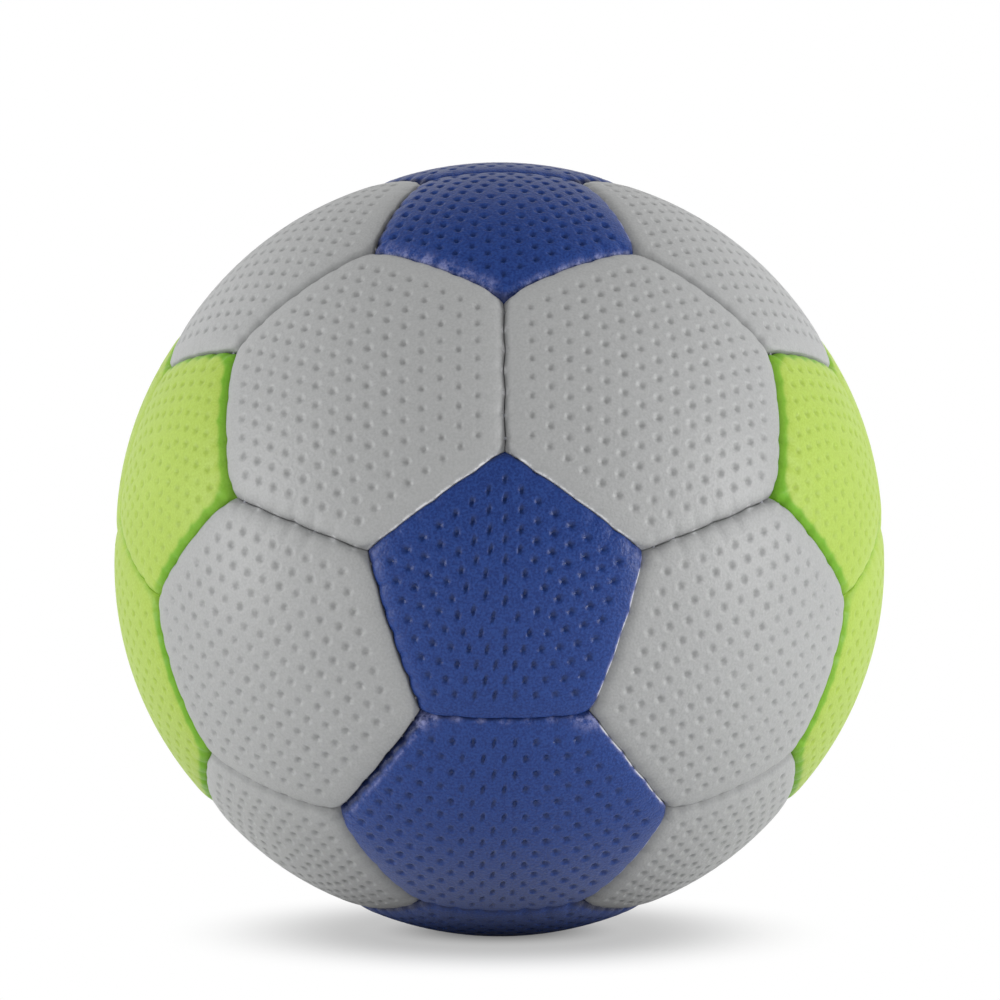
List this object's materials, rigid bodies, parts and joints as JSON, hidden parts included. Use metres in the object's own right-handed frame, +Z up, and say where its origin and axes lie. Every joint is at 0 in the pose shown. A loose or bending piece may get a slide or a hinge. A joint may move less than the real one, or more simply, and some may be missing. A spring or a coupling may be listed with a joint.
{
  "type": "handball",
  "caption": "Hand-stitched handball of puffed, dimpled pentagon and hexagon panels over foam, cloth lining and an air bladder, with a needle valve whose core draws out.",
  "frame": {"origin": "centre of the ball", "axes": "+Z up and -Y to the front as the ball lies in the picture, +X to the viewer's right"},
  "size_m": [0.1736, 0.1748, 0.175],
  "materials": {
    "blue_cover": "dimpled, satin",
    "green_cover": "dimpled, satin",
    "grey_cover": "dimpled, satin",
    "foam": "open-cell foam",
    "lining_cloth": "plain weave",
    "sewing_thread": "waxed twisted thread",
    "bladder_rubber": "matt",
    "valve_rubber": "matt"
  },
  "bodies": {
    "ball": {"bladder": "bladder_rubber", "blue_hexagon_bottom": "blue_cover", "blue_hexagon_lower_front": "blue_cover", "blue_hexagon_top": "blue_cover", "blue_hexagon_upper_back": "blue_cover", "blue_pentagon_back": "blue_cover", "blue_pentagon_front": "blue_cover", "blue_pentagon_lower_back": "blue_cover", "blue_pentagon_upper_front": "blue_cover", "green_hexagon_left_lower_front": "green_cover", "green_hexagon_left_upper_back": "green_cover", "green_hexagon_right_lower_front": "green_cover", "green_hexagon_right_upper_back": "green_cover", "green_pentagon_left_lower_back": "green_cover", "green_pentagon_left_upper_front": "green_cover", "green_pentagon_right_lower_back": "green_cover", "green_pentagon_right_upper_front": "green_cover", "grey_hexagon_left_back": "grey_cover", "grey_hexagon_left_bottom": "grey_cover", "grey_hexagon_left_front": "grey_cover", "grey_hexagon_left_lower_back": "grey_cover", "grey_hexagon_left_top": "grey_cover", "grey_hexagon_left_upper_front": "grey_cover", "grey_hexagon_right_back": "grey_cover", "grey_hexagon_right_bottom": "grey_cover", "grey_hexagon_right_front": "grey_cover", "grey_hexagon_right_lower_back": "grey_cover", "grey_hexagon_right_top": "grey_cover", "grey_hexagon_right_upper_front": "grey_cover", "grey_pentagon_left_lower_front": "grey_cover", "grey_pentagon_left_upper_back": "grey_cover", "grey_pentagon_right_lower_front": "grey_cover", "grey_pentagon_right_upper_back": "grey_cover", "hexagon_foam_pads": "foam", "hexagon_linings": "lining_cloth", "hexagon_seams_thread": "sewing_thread", "pentagon_foam_pads": "foam", "pentagon_linings": "lining_cloth", "pentagon_seams_thread": "sewing_thread", "valve_foam_pad": "foam", "valve_housing": "valve_rubber", "valve_lining": "lining_cloth"},
    "valve_core": {"valve_core": "valve_rubber"}
  },
  "joints": [
    {"name": "valve_core_draw", "type": "slide", "parent": "ball", "child": "valve_core", "axis": [0, 0.0714, 0.9974], "range_m": [0, 0.016]}
  ]
}
